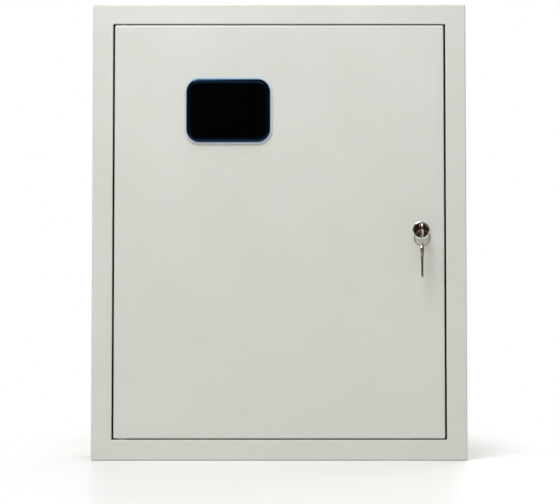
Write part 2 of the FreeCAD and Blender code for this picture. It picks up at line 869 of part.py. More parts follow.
def flat_key():
    """A small flat key in its own frame: the shoulder at 0, the blade along +Y,
    the bow along -Y and the thickness along X."""
    half = key_thick / 2
    upper = blade_outline()
    outline = [V(-half, y, z) for y, z in upper]
    outline += [V(-half, y, -z) for y, z in reversed(upper)]
    blade = Part.Face(Part.makePolygon(outline + outline[:1])).extrude(V(key_thick, 0, 0))
    groove = box(
        half - key_groove_depth, half, 0, key_blade_length, -key_groove_height, 0
    )
    other_groove = box(-half, -half + key_groove_depth, 0, key_blade_length, 0, key_groove_height)
    blade = blade.cut([groove, other_groove])
    neck = box(-half, half, -bow_centre_reach, 0, -key_neck_height / 2, key_neck_height / 2)
    bow = cylinder(key_bow_radius, V(-half, -bow_centre_reach, 0), V(half, -bow_centre_reach, 0))
    bow = bow.makeChamfer(key_edge_chamfer, [e for e in bow.Edges if e.BoundBox.XLength < 1e-6])
    head = bow.fuse(neck).removeSplitter()
    hole = cylinder(key_hole_radius, V(-key_thick, -hole_reach, 0), V(key_thick, -hole_reach, 0))
    return head.fuse(blade).removeSplitter().cut(hole)


def lock_key():
    """The key in the lock, its bow standing nearly upright."""
    key = flat_key()
    key.translate(V(lock_x, key_shoulder, lock_z))
    return turned_about_lock(key, key_turn_deg)


def ring_coil(y, end_angle):
    """One flat coil of the split ring in its middle plane y, with a gap at its end."""
    half = ring_wire_thick / 2
    outer = along_y(lock_x, ring_centre_z, ring_radius + ring_wire_width / 2, y - half, y + half)
    inner = along_y(lock_x, ring_centre_z, ring_radius - ring_wire_width / 2, y - half, y + half)
    coil = outer.cut(inner)
    coil = coil.makeChamfer(ring_wire_chamfer, edges_at_y(coil, y - half) + edges_at_y(coil, y + half))
    reach = half + ring_coil_gap / 2
    end = box(-ring_wire_width, ring_wire_width, -reach, reach, -ring_end_gap / 2, ring_end_gap / 2)
    end.translate(V(ring_radius, 0, 0))
    end.rotate(V(0, 0, 0), V(0, 1, 0), end_angle)
    end.translate(V(lock_x, y, ring_centre_z))
    return coil.cut(end)


def key_ring():
    """The split ring: two close coils of flat wire and the step that joins them."""
    offset = (ring_wire_thick + ring_coil_gap) / 2
    front_coil = ring_coil(ring_y - offset, ring_step_deg - ring_end_deg)
    rear_coil = ring_coil(ring_y + offset, ring_step_deg + ring_end_deg)
    angle = math.radians(ring_step_deg)
    x, z = lock_x + ring_radius * math.cos(angle), ring_centre_z - ring_radius * math.sin(angle)
    step = along_y(x, z, ring_wire_width / 2 - ring_wire_chamfer, ring_y - offset, ring_y + offset)
    return front_coil.fuse([rear_coil, step]).removeSplitter()


def spare_key():
    """The second key, hanging blade down from the ring and turned a little."""
    key = flat_key()
    key.translate(V(0, hole_reach, 0))
    key.rotate(V(0, 0, 0), V(1, 0, 0), -90)
    key.rotate(V(0, 0, 0), V(0, 0, 1), spare_key_yaw_deg)
    key.translate(V(lock_x, ring_y, spare_hole_z))
    return key


def plate_corners():
    """Where the meter plate is screwed down."""
    inset = meter_plate_screw_inset
    xs = (meter_plate_left + inset, meter_plate_right - inset)
    zs = (meter_plate_bottom + inset, meter_plate_top - inset)
    return [(x, z) for x in xs for z in zs]


def cover_corners():
    """Where the breaker cover is screwed down."""
    dx = cover_width / 2 - cover_post_inset_x
    dz = cover_height / 2 - cover_post_inset_z
    return [(x, main_rail_z + z) for x in (-dx, dx) for z in (-dz, dz)]


def standoff(x, z, length):
    """A six-sided standoff welded to the shell's back, tapped at its front."""
    post = hexagon(x, z, standoff_flats, back_inner - length, back_inner)
    radius = plate_screw_radius + screw_play
    hole = along_y(x, z, radius, back_inner - length, back_inner - length + standoff_screw_depth + 1)
    return post.cut(hole)


def plate_standoffs():
    """The four short standoffs of the meter plate."""
    return Part.makeCompound([standoff(x, z, standoff_length) for x, z in plate_corners()])


def plate_screws():
    """The four screws of the meter plate."""
    screws = []
    for x, z in plate_corners():
        length = device_sheet + standoff_screw_depth
        screws.append(
            pan_screw(
                x, z, plate_front, plate_screw_radius, length,
                plate_screw_head_radius, plate_screw_head_height,
            )
        )
    return Part.makeCompound(screws)


def meter_plate():
    """The galvanised plate that carries the meter, with its fixing slots."""
    cx = (meter_plate_left + meter_plate_right) / 2
    cz = (meter_plate_bottom + meter_plate_top) / 2
    width = meter_plate_right - meter_plate_left
    height = meter_plate_top - meter_plate_bottom
    plate = rounded_block(cx, cz, width, height, corner_outer, plate_front, plate_back)
    y1 = plate_back + meter_plate_fold
    for z0 in (meter_plate_bottom, meter_plate_top - device_sheet):
        x0, x1 = meter_plate_left + 2 * corner_outer, meter_plate_right - 2 * corner_outer
        plate = plate.fuse(box(x0, x1, plate_front, y1, z0, z0 + device_sheet))
    plate = plate.removeSplitter()
    bends = []
    for edge in plate.Edges:
        b = edge.BoundBox
        edge_on = abs(b.Center.z - meter_plate_bottom) < 1e-6 or abs(b.Center.z - meter_plate_top) < 1e-6
        if abs(b.YMax - plate_front) < 1e-6 and edge_on and b.XLength > width / 2:
            bends.append(edge)
    plate = plate.makeFillet(device_sheet * 0.8, bends)
    y0, y2 = plate_front - 1, plate_back + 1
    cutters = [
        slot_along_x(meter_x + side * meter_slot_spacing / 2, meter_slot_z,
                     meter_slot_length, meter_slot_radius, y0, y2)
        for side in (-1, 1)
    ]
    cutters.append(
        slot_along_z(meter_x, meter_top_slot_z, meter_top_slot_length, meter_slot_radius, y0, y2)
    )
    for x, z in plate_corners():
        cutters.append(along_y(x, z, plate_screw_radius + 2 * screw_play, y0, y2))
    for x in rail_screw_places(side_rail_x, side_rail_length):
        cutters.append(along_y(x, side_rail_z, plate_screw_radius + screw_play, y0, y2))
    return plate.cut(cutters)


def rail_screw_places(centre, length):
    """The two slots of a short rail that hold its screws."""
    reach = length / 2 - side_rail_screw_inset
    return (centre - reach, centre + reach)


def top_hat_rail(cx, cz, length):
    """A top-hat rail for clip-on devices, with rows of fixing slots in its web."""
    r = rail_sheet
    half, web = rail_height / 2, rail_web / 2
    y0, y1 = rail_front, plate_front
    section = [
        (-half, y0), (-web + r, y0), (-web + r, y1 - r), (web - r, y1 - r), (web - r, y0), (half, y0),
        (half, y0 + r), (web, y0 + r), (web, y1), (-web, y1), (-web, y0 + r), (-half, y0 + r),
    ]
    points = [V(cx - length / 2, y, cz + z) for z, y in section]
    rail = Part.Face(Part.makePolygon(points + points[:1])).extrude(V(length, 0, 0))
    bends = []
    for edge in rail.Edges:
        b = edge.BoundBox
        outer = abs(abs(b.Center.z - cz) - web) < 1e-6 and abs(b.Center.y - y1) < 1e-6
        brim = abs(abs(b.Center.z - cz) - web + r) < 1e-6 and abs(b.Center.y - y0) < 1e-6
        if b.XLength > length / 2 and (outer or brim):
            bends.append(edge)
    rail = rail.makeFillet(0.8 * rail_sheet, bends)
    return rail


def rail_slots(xs, cz):
    """The fixing slots of a rail, one round each of the places xs."""
    return [slot_along_x(x, cz, rail_slot_length, rail_slot_radius, plate_front - 4, plate_front + 1) for x in xs]


def side_rail():
    """The short rail beside the meter, for the main switch."""
    rail = top_hat_rail(side_rail_x, side_rail_z, side_rail_length)
    return rail.cut(rail_slots(rail_screw_places(side_rail_x, side_rail_length), side_rail_z))


def main_rail():
    """The long rail behind the breaker cover."""
    rail = top_hat_rail(0.0, main_rail_z, main_rail_length)
    count = max(2, round(2 * rail_bracket_x / rail_slot_pitch))
    pitch = 2 * rail_bracket_x / count
    xs = [i * pitch - rail_bracket_x for i in range(count + 1)]
    return rail.cut(rail_slots(xs, main_rail_z))


def rail_bracket(x):
    """A folded bracket that stands the long rail off the shell's back."""
    half_w = rail_bracket_width / 2
    half_h = rail_height / 2
    t = device_sheet
    z = main_rail_z
    foot = rail_bracket_foot
    section = [
        (-half_h - foot, back_inner), (-half_h - foot, back_inner - t), (-half_h, back_inner - t),
        (-half_h, plate_front), (half_h, plate_front), (half_h, back_inner - t),
        (half_h + foot, back_inner - t), (half_h + foot, back_inner), (half_h - t, back_inner),
        (half_h - t, plate_back), (-half_h + t, plate_back), (-half_h + t, back_inner),
    ]
    points = [V(x - half_w, y, z + dz) for dz, y in section]
    bracket = Part.Face(Part.makePolygon(points + points[:1])).extrude(V(rail_bracket_width, 0, 0))
    bends = []
    for edge in bracket.Edges:
        b = edge.BoundBox
        if b.XLength > half_w and abs(b.Center.y - plate_front) < 1e-6:
            bends.append(edge)
    bracket = bracket.makeFillet(t * 0.9, bends)
    return bracket.cut(along_y(x, z, plate_screw_radius + screw_play, plate_front - 1, plate_back + 1))


def rail_screws():
    """The screws that hold both rails, seated on the rails' webs."""
    seat = plate_front - rail_sheet
    places = [(x, side_rail_z) for x in rail_screw_places(side_rail_x, side_rail_length)]
    places += [(-rail_bracket_x, main_rail_z), (rail_bracket_x, main_rail_z)]
    screws = [
        pan_screw(x, z, seat, plate_screw_radius, rail_screw_length, rail_screw_head_radius, rail_screw_head_height)
        for x, z in places
    ]
    return Part.makeCompound(screws)


def breaker_cover():
    """The folded cover with the long slot that breakers look out of."""
    half_w, half_h = cover_width / 2, cover_height / 2
    z = main_rail_z
    cover = folded_tray(
        -half_w, half_w, z - half_h, z + half_h, cover_face, cover_face + cover_fold, device_sheet
    )
    cutters = [
        rounded_block(0.0, z, cover_slot_width, cover_slot_height, cover_corner, cover_face - 1, cover_inner + 1)
    ]
    for x, cz in cover_corners():
        cutters.append(along_y(x, cz, plate_screw_radius + 2 * screw_play, cover_face - 1, cover_inner + 1))
    return cover.cut(cutters)


def cover_posts():
    """The four long posts of the breaker cover."""
    length = back_inner - cover_inner
    return Part.makeCompound([standoff(x, z, length) for x, z in cover_corners()])


def cover_screws():
    """The knurled hand screws of the breaker cover."""
    screws = []
    for x, z in cover_corners():
        shank = along_y(x, z, plate_screw_radius, cover_face, cover_face + device_sheet + standoff_screw_depth)
        cap = cover_face - cover_screw_head_height
        head = along_y(x, z, cover_screw_head_radius, cap, cover_face)
        head = head.makeChamfer(0.8, edges_at_y(head, cap))
        notches = []
        for i in range(cover_knurls):
            angle = 2 * math.pi * i / cover_knurls
            nx = x + (cover_screw_head_radius + 0.25) * math.cos(angle)
            nz = z + (cover_screw_head_radius + 0.25) * math.sin(angle)
            notches.append(along_y(nx, nz, 0.8, cap - 1, cover_face))
        screws.append(shank.fuse(head).removeSplitter().cut(notches))
    return Part.makeCompound(screws)


def bar_places(cx):
    """The wire holes of a terminal bar, along X."""
    first = cx - bar_pitch * (bar_holes - 1) / 2
    return [first + i * bar_pitch for i in range(bar_holes)]


def terminal_bar(cx):
    """A brass bar with a row of wire holes, each with a tapped hole for its screw."""
    y1 = back_inner - insulator_height
    y0 = y1 - bar_thick
    half = bar_length / 2
    bar = box(cx - half, cx + half, y0, y1, bar_z - bar_height / 2, bar_z + bar_height / 2)
    cutters = []
    middle = (y0 + y1) / 2 + 0.3
    for x in bar_places(cx):
        cutters.append(along_z(x, middle, bar_hole_radius, bar_z - bar_height, bar_z + bar_height))
        cutters.append(along_y(x, bar_z, bar_screw_radius + screw_play, y0 - 1, middle))
    return bar.cut(cutters)


def bar_screws(cx):
    """The slotted screws of one terminal bar."""
    y0 = back_inner - insulator_height - bar_thick
    screws = []
    for x in bar_places(cx):
        lift = 0.2
        seat = y0 - lift
        cap = seat - bar_screw_head_height
        shank = along_y(x, bar_z, bar_screw_radius, seat, seat + 2.2)
        head = along_y(x, bar_z, bar_screw_head_radius, cap, seat)
        half = bar_screw_slot / 2
        slot = box(x - half, x + half, cap - 1, cap + 1.0, bar_z - 4, bar_z + 4)
        screws.append(shank.fuse(head).removeSplitter().cut(slot))
    return Part.makeCompound(screws)


def bar_insulators(cx):
    """The two waisted insulating feet of a terminal bar."""
    feet = []
    y1 = back_inner
    y0 = back_inner - insulator_height
    for side in (-1, 1):
        x = cx + side * (bar_length / 2 - insulator_inset)
        wide = insulator_width / 2
        narrow = wide - insulator_waist
        third = insulator_height / 3
        section = [
            (-wide, y0), (wide, y0), (wide, y0 + third * 0.8), (narrow, y0 + third),
            (narrow, y1 - third), (wide, y1 - third * 0.8), (wide, y1), (-wide, y1),
            (-wide, y1 - third * 0.8), (-narrow, y1 - third), (-narrow, y0 + third), (-wide, y0 + third * 0.8),
        ]
        half = insulator_length / 2
        points = [V(x + dx, y, bar_z - half) for dx, y in section]
        feet.append(Part.Face(Part.makePolygon(points + points[:1])).extrude(V(0, 0, insulator_length)))
    return Part.makeCompound(feet)


def earth_stud(x, z, root, towards):
    """A welded earth stud on a small weld collar, standing out of a sheet."""
    end = root + towards * stud_length
    stud = along_y(x, z, stud_radius, min(root, end), max(root, end))
    tips = [e for e in stud.Edges if abs(e.BoundBox.Center.y - end) < 1e-6 and e.BoundBox.YLength < 1e-6]
    stud = stud.makeChamfer(0.6, tips)
    collar_end = root + towards * stud_weld_height
    collar = along_y(x, z, stud_weld_radius, min(root, collar_end), max(root, collar_end))
    return stud.fuse(collar).removeSplitter()


def stud_nut(x, z, root, towards):
    """A washer and a nut on an earth stud, as two solids."""
    y = root + towards * (stud_weld_height + 0.1)
    y_washer = y + towards * stud_washer_thick
    washer = along_y(x, z, stud_washer_radius, min(y, y_washer), max(y, y_washer))
    y_nut = y_washer + towards * stud_nut_thick
    nut = hexagon(x, z, stud_nut_flats, min(y_washer, y_nut), max(y_washer, y_nut))
    hole = along_y(x, z, stud_radius + stud_play, root - 40, root + 40)
    return Part.makeCompound([washer.cut(hole), nut.cut(hole)])


def nodes():
    """Every piece by its node's name."""
    return {
        "box_shell": box_shell(),
        "front_frame": front_frame(),
        "door_seal": door_seal(),
        "upper_hinge_pin": hinge_pin(1),
        "lower_hinge_pin": hinge_pin(-1),
        "hinge_washer": hinge_washer(),
        "plate_standoffs": plate_standoffs(),
        "meter_plate": meter_plate(),
        "plate_screws": plate_screws(),
        "side_rail": side_rail(),
        "main_rail": main_rail(),
        "left_rail_bracket": rail_bracket(-rail_bracket_x),
        "right_rail_bracket": rail_bracket(rail_bracket_x),
        "rail_screws": rail_screws(),
        "cover_posts": cover_posts(),
        "breaker_cover": breaker_cover(),
        "cover_screws": cover_screws(),
        "neutral_bar": terminal_bar(neutral_bar_x),
        "neutral_bar_screws": bar_screws(neutral_bar_x),
        "neutral_bar_feet": bar_insulators(neutral_bar_x),
        "earth_bar": terminal_bar(earth_bar_x),
        "earth_bar_screws": bar_screws(earth_bar_x),
        "earth_bar_feet": bar_insulators(earth_bar_x),
        "box_earth_stud": earth_stud(box_stud_x, box_stud_z, back_inner, -1),
        "box_earth_nut": stud_nut(box_stud_x, box_stud_z, back_inner, -1),
        "door_panel": door_panel(),
        "upper_hinge_plate": hinge_plate(1),
        "lower_hinge_plate": hinge_plate(-1),
        "window_lens": window_lens(),
        "window_gasket": window_gasket(),
        "window_retainer": window_retainer(),
        "door_earth_stud": earth_stud(door_stud_x, door_stud_z, door_inner, 1),
        "door_earth_nut": stud_nut(door_stud_x, door_stud_z, door_inner, 1),
        "lock_barrel": lock_barrel(),
        "lock_washer": lock_washer(),
        "lock_nut": lock_nut(),
        "lock_plug": lock_plug(),
        "lock_cam": lock_cam(),
        "cam_screw": cam_screw(),
        "lock_key": lock_key(),
        "key_ring": key_ring(),
        "spare_key": spare_key(),
    }


os.makedirs("parts", exist_ok=True)
for name, shape in nodes().items():
    shape.exportStep("parts/" + name + ".step")
    print(f"{name:22s} solids {len(shape.Solids)} valid {shape.isValid()} volume {shape.Volume:.1f}")
print(f"hinge axis x {hinge_x:.2f} y {hinge_y:.2f}")
print(f"lock axis x {lock_x:.2f} z {lock_z:.2f}, plug front {plug_front:.2f}, cam front {cam_front:.2f}")
print(f"ring pivot y {ring_y:.2f} z {ring_pivot_z:.2f}, ring bottom z {ring_bottom_z:.2f}")
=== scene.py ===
import math

import bmesh
import bpy
import numpy as np
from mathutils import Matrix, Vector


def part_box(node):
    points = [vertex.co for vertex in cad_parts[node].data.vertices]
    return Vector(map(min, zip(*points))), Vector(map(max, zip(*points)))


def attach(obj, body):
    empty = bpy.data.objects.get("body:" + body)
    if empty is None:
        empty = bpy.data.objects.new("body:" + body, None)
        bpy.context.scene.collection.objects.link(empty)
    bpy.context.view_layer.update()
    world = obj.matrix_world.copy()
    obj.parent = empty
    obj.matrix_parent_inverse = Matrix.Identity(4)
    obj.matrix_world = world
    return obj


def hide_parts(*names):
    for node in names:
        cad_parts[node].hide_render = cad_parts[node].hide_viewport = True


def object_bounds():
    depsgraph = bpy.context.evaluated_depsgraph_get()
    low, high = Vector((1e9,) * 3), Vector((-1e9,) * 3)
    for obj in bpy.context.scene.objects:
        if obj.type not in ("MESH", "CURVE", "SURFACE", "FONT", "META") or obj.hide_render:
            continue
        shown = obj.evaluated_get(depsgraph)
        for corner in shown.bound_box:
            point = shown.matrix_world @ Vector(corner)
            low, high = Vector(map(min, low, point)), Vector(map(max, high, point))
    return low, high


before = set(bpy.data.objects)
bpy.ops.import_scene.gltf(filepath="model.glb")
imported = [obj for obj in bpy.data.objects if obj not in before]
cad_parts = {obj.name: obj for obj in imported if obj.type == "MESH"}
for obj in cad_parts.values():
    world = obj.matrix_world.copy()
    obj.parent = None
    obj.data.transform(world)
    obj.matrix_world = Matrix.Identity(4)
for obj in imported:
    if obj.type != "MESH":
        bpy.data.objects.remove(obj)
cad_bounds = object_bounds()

# The view: a long lens about two metres in front of the door, a little below the
# middle of the box and tipped up by three degrees, so the sides close in upwards.
view_distance = 2.1
view_tilt = math.radians(2.88)
view_point = (0.0009, -0.165, -0.0250)
pixels_per_radian = 1789.8
picture_width = 560.0
camera_data = bpy.data.cameras.new("camera")
camera_data.sensor_width = 36.0
camera_data.lens = camera_data.sensor_width * pixels_per_radian / picture_width
camera = bpy.data.objects.new("camera", camera_data)
camera.location = (
    view_point[0],
    view_point[1] - view_distance * math.cos(view_tilt),
    view_point[2] - view_distance * math.sin(view_tilt),
)
camera.rotation_euler = (math.pi / 2 + view_tilt, 0.0, 0.0)
bpy.context.scene.collection.objects.link(camera)
bpy.context.scene.camera = camera
bpy.context.scene.view_settings.view_transform = "Standard"


# The studio: one soft box high in front and a little to the left, one overhead and one
# behind, in an even room. Polished metal shows it dark in front and dimmer to the right.
def soft_box(name, place, target, width, height, power, tint=(1.0, 1.0, 1.0)):
    """A rectangular soft light at place that faces target."""
    data = bpy.data.lights.new(name, "AREA")
    data.shape = "RECTANGLE"
    data.size, data.size_y, data.energy = width, height, power
    data.color = tint
    light = bpy.data.objects.new(name, data)
    light.location = place
    gap = np.array(target, float) - np.array(place, float)
    yaw = math.atan2(gap[1], gap[0]) - math.pi / 2
    pitch = math.atan2(math.hypot(gap[0], gap[1]), -gap[2])
    light.rotation_euler = (pitch, 0.0, yaw)
    bpy.context.scene.collection.objects.link(light)


def add_node(tree, kind, inputs=None, **settings):
    """A shader node of that kind with its settings and its constant inputs."""
    made = tree.nodes.new("ShaderNode" + kind)
    for setting, value in settings.items():
        setattr(made, setting, value)
    for socket, value in (inputs or {}).items():
        made.inputs[socket].default_value = value
    return made


def join(source, output, target, socket):
    """A link from one node's output to an input of another in the same tree."""
    source.id_data.links.new(source.outputs[output], target.inputs[socket])


def any_ray(tree, *kinds):
    """A node whose value is 1 for rays of any of the kinds: the largest of their flags."""
    path = add_node(tree, "LightPath")
    largest = add_node(tree, "Math", operation="MAXIMUM")
    join(path, kinds[0], largest, 0)
    join(path, kinds[1], largest, 1)
    for kind in kinds[2:]:
        wider = add_node(tree, "Math", operation="MAXIMUM")
        join(largest, "Value", wider, 0)
        join(path, kind, wider, 1)
        largest = wider
    return largest


soft_box(
    "key_light", (-0.50, -1.62, 1.75), (0.0, -0.16, 0.0), 0.8, 0.8, 25.2, (1.0, 0.960, 0.940),
)
soft_box(
    "overhead_light", (-0.2, -0.6, 1.2), (0.0, -0.2, 0.0), 0.8, 0.7, 9.9, (0.84, 0.93, 1.0),
)
soft_box("rear_light", (0.9, 1.8, 1.3), (0.0, 0.0, 0.0), 1.4, 1.4, 22.0)

world = bpy.data.worlds.new("studio")
bpy.context.scene.world = world
world.use_nodes = True
room = world.node_tree
room.nodes.clear()
direction = add_node(room, "TexCoord")
split = add_node(room, "SeparateXYZ")
join(direction, "Generated", split, "Vector")
depth = add_node(
    room, "MapRange", {"From Min": -0.86, "From Max": -0.30}, interpolation_type="SMOOTHSTEP",
)
join(split, "Y", depth, "Value")
side = add_node(
    room, "MapRange", {"From Min": 0.1, "From Max": 0.9, "To Min": 1.0, "To Max": 0.30},
    interpolation_type="SMOOTHSTEP",
)
join(split, "X", side, "Value")
brightness = add_node(room, "Math", operation="MULTIPLY")
join(depth, "Result", brightness, 0)
join(side, "Result", brightness, 1)
shades = add_node(
    room, "Mix", {"A": (0.034, 0.017, 0.009, 1.0), "B": (1.0, 0.985, 0.965, 1.0)}, data_type="RGBA",
)
join(brightness, "Value", shades, "Factor")
room_light = add_node(room, "Background", {"Color": (0.310, 0.298, 0.291, 1.0)})
mirrored_room = add_node(room, "Background")
join(shades, "Result", mirrored_room, "Color")
white_paper = add_node(room, "Background", {"Color": (1.0, 1.0, 1.0, 1.0)})
lit_or_mirrored = add_node(room, "MixShader")
join(any_ray(room, "Is Glossy Ray", "Is Transmission Ray"), "Value", lit_or_mirrored, "Fac")
join(room_light, "Background", lit_or_mirrored, 1)
join(mirrored_room, "Background", lit_or_mirrored, 2)
whole_room = add_node(room, "MixShader")
join(add_node(room, "LightPath"), "Is Camera Ray", whole_room, "Fac")
join(lit_or_mirrored, "Shader", whole_room, 1)
join(white_paper, "Background", whole_room, 2)
join(whole_room, "Shader", add_node(room, "OutputWorld"), "Surface")


# The floor: a pale, faintly glossy sheet under the front frame's lower edge. It keeps
# the shadow near the box and runs out to plain white further off.
def mesh_piece(name, points, faces):
    """A smooth mesh object at the origin from an array of points and a list of faces."""
    data = bpy.data.meshes.new(name)
    data.from_pydata(np.asarray(points, float).reshape(-1, 3).tolist(), [], faces)
    data.validate()
    data.polygons.foreach_set("use_smooth", [True] * len(data.polygons))
    data.update()
    piece = bpy.data.objects.new(name, data)
    bpy.context.scene.collection.objects.link(piece)
    return piece


def grid_faces(rows, columns, closed_rows=False, closed_columns=False):
    """Quads between neighbours of a rows x columns grid, wrapped where it is closed."""
    last_row = rows if closed_rows else rows - 1
    last_column = columns if closed_columns else columns - 1
    r, c = np.meshgrid(np.arange(last_row), np.arange(last_column), indexing="ij")
    r2, c2 = (r + 1) % rows, (c + 1) % columns
    quads = np.stack([r * columns + c, r * columns + c2, r2 * columns + c2, r2 * columns + c], -1)
    return quads.reshape(-1, 4).tolist()


def shader_of(finish):
    """The shading node of a finish."""
    return finish.node_tree.nodes["Principled BSDF"]


floor_reach = 12.0
floor_lines = 41
floor_drop = 0.0002
floor_level = cad_bounds[0][2] - floor_drop
spread = floor_reach * np.linspace(-1.0, 1.0, floor_lines) ** 3
floor_x, floor_y = np.meshgrid(spread, spread, indexing="ij")
floor_points = np.stack([floor_x, floor_y, np.full_like(floor_x, floor_level)], -1)
floor = mesh_piece("floor", floor_points, grid_faces(floor_lines, floor_lines))
floor_finish = bpy.data.materials.new("pale_floor")
floor_finish.use_nodes = True
floor_shader = shader_of(floor_finish)
floor_shader.inputs["Base Color"].default_value = (0.92, 0.92, 0.895, 1.0)
floor_shader.inputs["Roughness"].default_value = 0.32
floor_shader.inputs["Specular IOR Level"].default_value = 0.18
floor_tree = floor_finish.node_tree
floor_spot = add_node(floor_tree, "TexCoord")
oval = add_node(floor_tree, "Mapping", {"Scale": (1.0, 0.25, 0.0)})
join(floor_spot, "Object", oval, "Vector")
distance = add_node(floor_tree, "VectorMath", operation="LENGTH")
join(oval, "Vector", distance, 0)
fade = add_node(
    floor_tree, "MapRange", {"From Min": 0.22, "From Max": 0.36}, interpolation_type="SMOOTHSTEP",
)
join(distance, "Value", fade, "Value")
whiteness = add_node(floor_tree, "Math", operation="MULTIPLY")
join(fade, "Result", whiteness, 0)
seen_rays = any_ray(floor_tree, "Is Camera Ray", "Is Glossy Ray", "Is Transmission Ray")
join(seen_rays, "Value", whiteness, 1)
white = add_node(floor_tree, "Emission")
blend = add_node(floor_tree, "MixShader")
join(whiteness, "Value", blend, "Fac")
join(floor_shader, "BSDF", blend, 1)
join(white, "Emission", blend, 2)
join(blend, "Shader", floor_tree.nodes["Material Output"], "Surface")
floor.data.materials.append(floor_finish)


# The shell: one sheet of 1.2 mm steel folded into a tray, welded at the corners, with
# half-sheared knock-outs and side tabs, powder coated light grey inside and out.
def surface(
    name, dark, light, rough, patch, grain, relief, metallic=0.0, stretch=(1, 1, 1), bend=0.0,
):
    """A finish in two patterns of noise on Object coordinates: the coarse one, patch
    metres wide, mixes the two shades and the two roughnesses, and the fine one, grain
    metres wide, raises the surface by up to relief metres. Where bend isn't zero, edges
    shade as if rounded to that radius, as a bend in sheet is."""
    finish = bpy.data.materials.new(name)
    finish.use_nodes = True
    tree = finish.node_tree
    shader = shader_of(finish)
    shader.inputs["Metallic"].default_value = metallic
    spot = add_node(tree, "TexCoord")
    scaled = add_node(tree, "Mapping", {"Scale": stretch})
    join(spot, "Object", scaled, "Vector")
    coarse = add_node(tree, "TexNoise", {"Scale": 1.0 / patch, "Detail": 5.0, "Roughness": 0.6})
    join(scaled, "Vector", coarse, "Vector")
    shade = add_node(tree, "ValToRGB")
    for stop, position, colour in zip(shade.color_ramp.elements, (0.32, 0.68), (dark, light)):
        stop.position = position
        stop.color = (*colour, 1.0)
    join(coarse, "Fac", shade, "Fac")
    join(shade, "Color", shader, "Base Color")
    gloss = add_node(tree, "MapRange", {
        "From Min": 0.3, "From Max": 0.7, "To Min": rough[0], "To Max": rough[1],
    })
    join(coarse, "Fac", gloss, "Value")
    join(gloss, "Result", shader, "Roughness")
    fine = add_node(tree, "TexNoise", {"Scale": 1.0 / grain, "Detail": 2.0})
    join(scaled, "Vector", fine, "Vector")
    bump = add_node(tree, "Bump", {"Strength": 1.0, "Distance": relief})
    join(fine, "Fac", bump, "Height")
    join(bump, "Normal", shader, "Normal")
    if bend:
        rounded = add_node(tree, "Bevel", {"Radius": bend}, samples=6)
        join(rounded, "Normal", bump, "Normal")
    return finish


def dress(finish, *names):
    """The finish on each of the named nodes."""
    for name in names:
        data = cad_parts[name].data
        data.materials.clear()
        data.materials.append(finish)


grey_paint = surface(
    "grey_powder_coat", (0.638, 0.645, 0.596), (0.660, 0.667, 0.618), (0.36, 0.44),
    patch=0.09, grain=0.0016, relief=0.000012, bend=0.0015,
)
dress(grey_paint, "box_shell")


# The front frame: four mitred strips folded from the same sheet, ground flush at the
# corners and painted with the shell, with the rebate and stop lip that the door meets.
dress(grey_paint, "front_frame")


# The door's seal: an extruded angle of black rubber stuck round the rebate, with a thin
# leg on its walls and a thick one on the stop lip behind the door's folded edge. Its
# black is partly the rubber's own and partly painted shade, darkening the door's gaps.
# Near-black and dull: painted shade deep in the door's gaps as well as the rubber's colour.
black_rubber = surface(
    "black_rubber", (0.006, 0.006, 0.006), (0.012, 0.012, 0.012), (0.62, 0.78),
    patch=0.01, grain=0.0006, relief=0.00003,
)
shader_of(black_rubber).inputs["Specular IOR Level"].default_value = 0.15
dress(black_rubber, "door_seal")


# The meter plate and the rails' brackets: galvanised sheet, left bare, with the frosty
# patches of zinc crystals a few millimetres wide.
crystals_per_metre = 170.0
galvanised = surface(
    "galvanised_sheet", (0.46, 0.48, 0.50), (0.62, 0.64, 0.65), (0.34, 0.52),
    metallic=1.0, patch=0.02, grain=0.0007, relief=0.000006,
)
sheet_tree = galvanised.node_tree
crystals = add_node(sheet_tree, "TexVoronoi", {"Scale": crystals_per_metre})
join(sheet_tree.nodes["Mapping"], "Vector", crystals, "Vector")
grey_cells = add_node(sheet_tree, "RGBToBW")
join(crystals, "Color", grey_cells, "Color")
frost = add_node(sheet_tree, "Mix", {"Factor": 0.22}, data_type="RGBA", blend_type="OVERLAY")
join(sheet_tree.nodes["Color Ramp"], "Color", frost, "A")
join(grey_cells, "Val", frost, "B")
join(frost, "Result", shader_of(galvanised), "Base Color")
dress(galvanised, "meter_plate", "left_rail_bracket", "right_rail_bracket")


# The top-hat rails, standoffs and posts: steel rolled or drawn to section and zinc
# plated, brighter than the sheet and streaked along its length.
zinc = surface(
    "zinc_plate", (0.64, 0.64, 0.62), (0.71, 0.71, 0.685), (0.30, 0.36),
    metallic=1.0, patch=0.012, grain=0.0005, relief=0.0000015, stretch=(0.35, 1, 1),
)
dress(zinc, "side_rail", "main_rail", "plate_standoffs", "cover_posts")


# The plate's and the rails' pan-head screws: cold-headed steel, zinc plated, each with
# a cross recess punched into its crown.
def merged(piece, gap=1e-7):
    """The piece with its coincident points joined and its faces turned outwards."""
    work = bmesh.new()
    work.from_mesh(piece.data)
    bmesh.ops.remove_doubles(work, verts=work.verts, dist=gap)
    bmesh.ops.recalc_face_normals(work, faces=work.faces)
    work.to_mesh(piece.data)
    work.free()
    return piece


